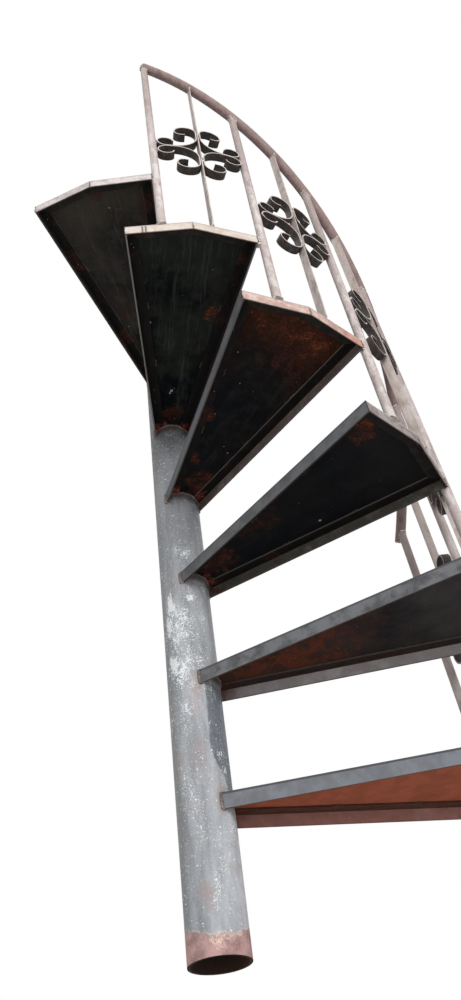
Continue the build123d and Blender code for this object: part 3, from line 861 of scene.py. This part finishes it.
wear("pole", poleFinish())
for number in range(1, flight["treads"] + 1):
    wear(f"tread_{number}_plate", plateFinish(number))
    sides = sideFinish(number)
    wear(f"tread_{number}_front_angle", sides)
    wear(f"tread_{number}_rear_angle", sides)
    wear(f"tread_{number}_rim_angle", rimFinish(number))
postPrimer, flatPrimer, scrollPaint = barFinish("post"), barFinish("flat"), scrollFinish()
for number in range(1, flight["treads"] + 1):
    wear(f"post_{number}", postPrimer)
for number in range(1, flight["treads"]):
    wear(f"flat_baluster_{number}", flatPrimer)
    wear(f"scrolls_{number}", scrollPaint)
wear("handrail", barFinish("rail"))
print("finishes on the solids")


bead = {
    "drop": 0.0027,  # radius of one drop of weld
    "step": 0.0026,  # from drop to drop
    "wander": 0.0006,
    "grain": 0.0009,  # edge of the remesh
    "squash": (0.62, 1.0, 0.9),
    "proud": 0.0006,  # middle of a drop in front of the steel
}
hand = random.Random(7)


def dropOn(place, way, size):  # one drop, squashed along the way the bead runs
    place = Vector(place) + Vector([hand.uniform(-1, 1) for axis in range(3)]) * bead["wander"]
    radius = bead["drop"] * size * hand.uniform(0.82, 1.18)
    turn = Vector(way).to_track_quat("X", "Z").to_euler()
    bpy.ops.mesh.primitive_ico_sphere_add(
        subdivisions=2, radius=radius, location=place, rotation=turn, scale=bead["squash"])
    return bpy.context.object


def runBead(start, end, size):
    start, end = Vector(start), Vector(end)
    count = max(2, round((end - start).length / (bead["step"] * size)))
    return [dropOn(start.lerp(end, step / (count - 1)), end - start, size) for step in range(count)]


def ringBead(middle, radius, low, high, size):  # round a point, level
    count = max(3, round(radius * abs(high - low) / (bead["step"] * size)))
    drops = []
    for step in range(count):
        turn = low + (high - low) * step / (count - 1)
        spot = Vector(middle) + Vector((radius * math.cos(turn), radius * math.sin(turn), 0))
        drops.append(dropOn(spot, (-math.sin(turn), math.cos(turn), 0.0), size))
    return drops


def fuse(name, drops, material, smooth=3):  # melts the drops into one bead
    bpy.ops.object.select_all(action="DESELECT")
    for drop in drops:
        drop.select_set(True)
    bpy.context.view_layer.objects.active = drops[0]
    bpy.ops.object.join()
    bpy.ops.object.transform_apply(location=True, rotation=True, scale=True)
    piece = bpy.context.object
    piece.name = name
    melt = piece.modifiers.new("melt", "REMESH")
    melt.mode = "VOXEL"
    melt.voxel_size = bead["grain"]
    bpy.ops.object.modifier_apply(modifier="melt")
    soften = piece.modifiers.new("soften", "SMOOTH")
    soften.factor = 0.5
    soften.iterations = smooth
    bpy.ops.object.modifier_apply(modifier="soften")
    bpy.ops.object.shade_smooth()
    piece.data.materials.clear()
    piece.data.materials.append(material)
    return piece


def handIn(piece):
    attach(piece, "root")


def handInAll(first, name):  # the weld of tread 1, and a copy of it at every other tread
    home = treadPlace(1).inverted()
    for number in range(2, flight["treads"] + 1):
        twin = first.copy()
        twin.data = first.data.copy()
        twin.name = f"{name}_{number}"
        twin.data.transform(treadPlace(number) @ home)
        bpy.context.scene.collection.objects.link(twin)
        handIn(twin)
    handIn(first)


def onTread(x, y, z):  # a place on tread 1, from its own coordinates
    return treadPlace(1) @ Vector((x, y, z))


def poleArc(degreesLow, degreesHigh, level, size):  # along the pole, in the first tread's own coordinates
    low, high = [treadAzimuth(1) + math.radians(degrees) for degrees in (degreesLow, degreesHigh)]
    return ringBead(onTread(0, 0, level), flight["poleRadius"] + poleWeld["proud"], low, high, size)


def runDown(x, y, top, foot, size):
    return runBead(onTread(x, y, top), onTread(x, y, foot), size)


def poleDown(degrees, top, foot, size):
    turn = math.radians(degrees)
    reach = flight["poleRadius"] + poleWeld["uprightProud"]
    return runDown(reach * math.cos(turn), reach * math.sin(turn), top, foot, size)


poleWeld = {
    "proud": 0.0007,
    "uprightProud": 0.0008,
    # degrees from the middle of the tread, level and size
    "arcs": [(-22, 22, -0.0039, 1.0), (23, 50, -0.0071, 1.1), (-50, -23, -0.0071, 1.1), (-55, 55, 0.0006, 0.9)],
    # the same on both sides: degrees, top, foot and size
    "uprights": [(49.6, -0.0075, -0.0270, 1.1), (57.6, -0.0010, -0.0285, 1.05), (59.6, -0.0040, -0.0250, 0.75)],
    "underLegs": (51.5, 56.5, -0.0292, 1.0),
}


def makePoleWelds():
    drops = []
    for arc in poleWeld["arcs"]:
        drops += poleArc(*arc)
    for side in (-1, 1):
        for degrees, top, foot, size in poleWeld["uprights"]:
            drops += poleDown(side * degrees, top, foot, size)
        near, far, level, size = poleWeld["underLegs"]
        drops += poleArc(side * near, side * far, level, size)
    handInAll(fuse("poleWeld_1", drops, weldFinish("pole")), "poleWeld")


frameWeld = {
    # middles of the stitches between legs and plate along the tread, their length, size, level and inset
    "stitches": (0.240, 0.393),
    "stitch": 0.015,
    "stitchSize": 0.85,
    "stitchLevel": -0.0044,
    "inset": flight["leg"] + 0.0004,
    # past the corners: along, across, top, foot and size
    "corners": [(0.0002, 0.0002, -0.0020, -0.0280, 0.50), (-0.0052, -0.0050, -0.0070, -0.0270, 0.85)],
    # past the point: along, top, foot and size
    "point": [(-0.0002, -0.0035, -0.0280, 0.42), (-0.0044, -0.0070, -0.0270, 0.75)],
}


def makeFrameWelds():  # stitches along the free edges of the legs, and lumps in the corners of the frame
    beads = []
    for side in (-1, 1):
        for middle in frameWeld["stitches"]:
            ends = []
            for x in (middle - frameWeld["stitch"] / 2, middle + frameWeld["stitch"] / 2):
                y = flight["rootHalfWidth"] + x * math.tan(sideTurn) - frameWeld["inset"] / math.cos(sideTurn)
                ends.append(onTread(x, y * side, frameWeld["stitchLevel"]))
            beads += runBead(*ends, frameWeld["stitchSize"])
    for side in (-1, 1):
        for along, across, top, foot, size in frameWeld["corners"]:
            y = (flight["cornerHalfWidth"] + across) * side
            beads += runDown(flight["cornerReach"] + along, y, top, foot, size)
    for along, top, foot, size in frameWeld["point"]:
        beads += runDown(flight["pointReach"] + along, 0, top, foot, size)
    handInAll(fuse("frameWeld_1", beads, weldFinish("frame"), 2), "frameWeld")


railingWeld = {
    # drops round the top of a post and of a flat bar, and their sizes
    "postDrops": 22,
    "flatDrops": 16,
    "postSize": 0.9,
    "flatSize": 0.72,
    # a post's welds to its own tread: depths, shift to either side, and gap that one drop fills
    "sideDepths": (0.004, 0.0145, 0.025),
    "sideShift": 0.0042,
    "sideStep": 0.0028,
    # spots at the edges of the scrolls: reach from the middle at the post and at the flat bar
    "curlReach": 0.0080,
    "bellyReach": 0.0085,
}


def footBead(axis, flat):  # round a baluster's foot
    start = axis[0]
    if not flat:
        middle = start + Vector((0, 0, 0.0008))
        return ringBead(middle, flight["postRadius"] + bead["proud"], 0.0, math.radians(350), 0.85)
    out = Vector((start.x, start.y, 0)).normalized()
    side = Vector((-out.y, out.x, 0)) * (flight["flatThickness"] / 2 + bead["proud"])
    reach = out * (flight["flatWidth"] / 2 - 0.001)
    lift = Vector((0, 0, bead["proud"]))
    drops = runBead(start - reach + side + lift, start + reach + side + lift, 0.7)
    return drops + runBead(start - reach - side + lift, start + reach - side + lift, 0.7)


def topBead(axis, flat):  # under the handrail, on its slope
    start, top = axis
    out = Vector((top.x, top.y, 0)).normalized()
    down = Vector((-out.y, out.x, 0))  # back down the flight
    along = down * math.cos(railSlope) - Vector((0, 0, 1)) * math.sin(railSlope)
    under = down * -math.sin(railSlope) - Vector((0, 0, 1)) * math.cos(railSlope)
    # the bar's axis meets the underside of the tube here
    rising = (top - start).normalized()
    joint = top + rising * (flight["railRadius"] / rising.dot(under))
    drops = []
    wide = flight["flatWidth"] / 2 if flat else flight["postRadius"] + 0.0004
    deep = (flight["flatThickness"] / 2 if flat else flight["postRadius"]) + 0.0004
    count = railingWeld["flatDrops" if flat else "postDrops"]
    size = railingWeld["flatSize" if flat else "postSize"]
    for step in range(count):
        turn = step * 2 * math.pi / count
        across, on = wide * math.cos(turn), deep * math.sin(turn)
        # the joint follows the round underside of the tube
        fall = flight["railRadius"] - math.sqrt(max(flight["railRadius"] ** 2 - across ** 2, 0.0))
        place = joint + out * across + along * (on / math.cos(railSlope)) + under * (0.0004 - fall * 0.35)
        way = out * -math.sin(turn) + along * math.cos(turn)
        drops.append(dropOn(place, way, size))
    return drops


def sideBead(number):  # where a post is welded to the front angle of its own tread
    axis = postAxis(number)
    top = treadTop(number)
    way = treadPlace(number).to_3x3() @ Vector((*sideOut, 0))
    drops = []
    for depth in railingWeld["sideDepths"]:
        centre = atLevel(axis, top - depth)
        local = treadPlace(number).inverted() @ centre
        edge = flight["rootHalfWidth"] + local.x * math.tan(sideTurn)
        gap = (local.y - edge) * math.cos(sideTurn) - flight["postRadius"]
        face = centre - way * (flight["postRadius"] + gap)
        steps = max(1, round(gap / railingWeld["sideStep"]) + 1)
        along = treadPlace(number).to_3x3() @ Vector((*sideWay, 0))
        for shift in (-railingWeld["sideShift"], railingWeld["sideShift"]):
            for step in range(steps):
                spot = face + way * (gap * (step + 0.5) / steps + bead["proud"]) + along * shift
                drops.append(dropOn(spot, (0, 0, 1), 1.0))
                drops.append(dropOn(spot + Vector((0, 0, -0.0032)), (0, 0, 1), 0.9))
    return drops


def scrollBeads(number):  # spots where the scrolls touch the bars and each other
    flat, level = flatAxis(number), treadTop(number) + flight["scrollLevels"][number - 1]
    middle = atLevel(flat, level)
    along = (flat[1] - flat[0]).normalized()
    drops = []
    out = Vector((middle.x, middle.y, 0)).normalized()
    base = flight["scrollThickness"] / 2 + flight["gap"]
    small = base + flight["smallCurl"]
    high = base + flight["scrollBelly"] + flight["scrollStraight"] / 2
    for post in (number, number + 1):
        for upright in (-1, 1):
            apart = atLevel(postAxis(post), level + upright * small) - middle
            apart -= along * apart.dot(along)
            side = apart.normalized()
            atPost = middle + side * (apart.length - flight["postRadius"]) + along * upright * small
            atFlat = middle + side * 0.0024 + along * upright * high
            for spot, wide in ((atPost, railingWeld["curlReach"]), (atFlat, railingWeld["bellyReach"])):
                for shift in (-1, 1):
                    drops.append(dropOn(spot + out * wide * shift, along, 0.95))
                    drops.append(dropOn(spot + out * wide * shift + along * 0.0028, along, 0.8))
            if upright == 1:
                touching = middle + side * (apart.length * 0.5)
                for shift in (-1, 1):
                    spot = touching + out * railingWeld["bellyReach"] * shift
                    drops.append(dropOn(spot, side, 0.75))
                    drops.append(dropOn(spot + side * 0.0025, side, 0.7))
    return drops


def makeRailingWelds():
    pale = weldFinish("railing")
    for number in range(1, flight["treads"] + 1):
        drops = topBead(postAxis(number), False) + sideBead(number)
        if number > 1:
            drops += footBead(postAxis(number), False)
        if number < flight["treads"]:
            drops += footBead(flatAxis(number), True) + topBead(flatAxis(number), True) + scrollBeads(number)
        handIn(fuse(f"railingWeld_{number}", drops, pale, 2))
    makeRailEnds(pale)


railEnd = {"flatness": 0.30, "inset": 0.0003, "lumps": 14, "lumpInset": 0.0018, "lumpLift": 0.0010}


def makeRailEnds(pale):  # low domes of weld that close the square ends of the handrail
    lead = flight["railRadius"] * math.sin(railSlope)
    low = treadAzimuth(1) + postTurn + (flight["postRadius"] + lead) / railReach
    high = treadAzimuth(flight["treads"]) + postTurn - (flight["postRadius"] - lead) / railReach
    for name, azimuth, way in (("low", low, -1), ("high", high, 1)):
        out = Vector((math.cos(azimuth), math.sin(azimuth), 0))
        uphill = Vector((out.y, -out.x, 0)) * math.cos(railSlope) + Vector((0, 0, 1)) * math.sin(railSlope)
        centre = out * railReach + Vector((0, 0, railLevel(azimuth)))
        turn = (uphill * way).to_track_quat("Z", "Y")
        bpy.ops.mesh.primitive_uv_sphere_add(
            segments=40, ring_count=20, radius=flight["railRadius"] - railEnd["inset"], location=centre,
            rotation=turn.to_euler(), scale=(1.0, 1.0, railEnd["flatness"]))
        drops = [bpy.context.object]
        for step in range(railEnd["lumps"]):  # round the rim of the dome
            spin = step * 2 * math.pi / railEnd["lumps"]
            rim = turn @ Vector((math.cos(spin), math.sin(spin), 0)) * (flight["railRadius"] - railEnd["lumpInset"])
            drops.append(dropOn(centre + rim + uphill * way * railEnd["lumpLift"], uphill, 0.9))
        handIn(fuse(f"railEnd_{name}", drops, pale))


makePoleWelds()
makeFrameWelds()
print("welds at the treads made")
makeRailingWelds()
print("welds of the railing made")


stageLook = {
    "size": 16.0,
    "hole": 0.0485,
    "floor": (0.80, 0.80, 0.79, 1.0),
    "sky": (0.93, 0.96, 1.0, 1.0),
    "skyLevel": 0.42,
    "seen": (1.0, 1.0, 1.0, 1.0),  # what the camera sees of the sky
}


def makeFloor():  # pale from above, out of the way of a camera below it, and open under the pole's bore
    bpy.ops.mesh.primitive_circle_add(vertices=96, radius=stageLook["hole"], fill_type="NOTHING")
    rim = bpy.context.object
    bpy.ops.mesh.primitive_circle_add(vertices=96, radius=stageLook["size"] / 2, fill_type="NOTHING")
    floor = bpy.context.object
    bpy.ops.object.select_all(action="DESELECT")
    rim.select_set(True)
    floor.select_set(True)
    bpy.context.view_layer.objects.active = floor
    bpy.ops.object.join()
    floor.name = "floor"
    bpy.ops.object.mode_set(mode="EDIT")
    bpy.ops.mesh.select_all(action="SELECT")
    bpy.ops.mesh.bridge_edge_loops()
    bpy.ops.object.mode_set(mode="OBJECT")
    if floor.data.polygons[0].normal.z < 0:
        bpy.ops.object.mode_set(mode="EDIT")
        bpy.ops.mesh.select_all(action="SELECT")
        bpy.ops.mesh.flip_normals()
        bpy.ops.object.mode_set(mode="OBJECT")
    material, tree, shader = finish("floorPaint", 0.9, 0.1)
    shader.inputs["Base Color"].default_value = stageLook["floor"]
    below = put(tree, "ShaderNodeNewGeometry").outputs["Backfacing"]
    seen = put(tree, "ShaderNodeLightPath").outputs["Is Camera Ray"]
    clear = put(tree, "ShaderNodeBsdfTransparent").outputs[0]
    hidden = times(below, seen)
    mixed = put(tree, "ShaderNodeMixShader", {0: hidden, 1: shader.outputs[0], 2: clear}).outputs[0]
    feed(tree.nodes["Material Output"], {"Surface": mixed})
    floor.data.materials.append(material)


def makeSky():
    world = bpy.data.worlds.new("sky")
    bpy.context.scene.world = world
    world.use_nodes = True
    tree = world.node_tree
    tree.nodes.clear()
    path = put(tree, "ShaderNodeLightPath").outputs
    plain = larger(path["Is Camera Ray"], larger(path["Is Glossy Ray"], path["Is Transmission Ray"]))
    light = put(tree, "ShaderNodeBackground", {"Color": stageLook["sky"], "Strength": stageLook["skyLevel"]})
    white = put(tree, "ShaderNodeBackground", {"Color": stageLook["seen"], "Strength": 1.0})
    mixed = put(tree, "ShaderNodeMixShader", {0: plain, 1: light.outputs[0], 2: white.outputs[0]})
    ends = put(tree, "ShaderNodeOutputWorld", {"Surface": mixed.outputs[0]})
    ends.is_active_output = True


lamps = {
    "key": {"from": (4.2, 0.9, 2.1), "at": (0.2, 0.2, 1.0), "size": 3.2, "power": 155.0},
    "top": {"from": (0.6, -0.6, 4.6), "at": (0.2, 0.2, 1.0), "size": 3.0, "power": 52.0},
}


def makeLamp(name):
    lamp = lamps[name]
    data = bpy.data.lights.new(name, "AREA")
    data.shape = "DISK"
    data.size = lamp["size"]
    data.energy = lamp["power"]
    holder = bpy.data.objects.new(name, data)
    bpy.context.scene.collection.objects.link(holder)
    aim = Vector(lamp["at"]) - Vector(lamp["from"])
    holder.matrix_world = Matrix.Translation(lamp["from"]) @ aim.to_track_quat("-Z", "Y").to_matrix().to_4x4()


viewPoint = {
    "place": (1.37195, -0.02995, -0.35312),
    "right": (0.003653, 0.993470, -0.114038),
    "up": (0.700173, 0.078879, 0.709603),
    "back": (0.713964, -0.082439, -0.695312),
    "lens": 29.047,
}


def makeCamera():
    data = bpy.data.cameras.new("camera")
    data.sensor_fit = "VERTICAL"
    data.sensor_height = 36.0
    data.lens = viewPoint["lens"]
    data.clip_start = 0.02
    data.clip_end = 60.0
    camera = bpy.data.objects.new("camera", data)
    bpy.context.scene.collection.objects.link(camera)
    columns = Matrix((viewPoint["right"], viewPoint["up"], viewPoint["back"])).transposed()
    camera.matrix_world = Matrix.Translation(viewPoint["place"]) @ columns.to_4x4()
    bpy.context.scene.camera = camera


makeFloor()
makeSky()
for lampName in lamps:
    makeLamp(lampName)
makeCamera()
bpy.context.scene.view_settings.view_transform = "Standard"
print("stage, light and camera set")
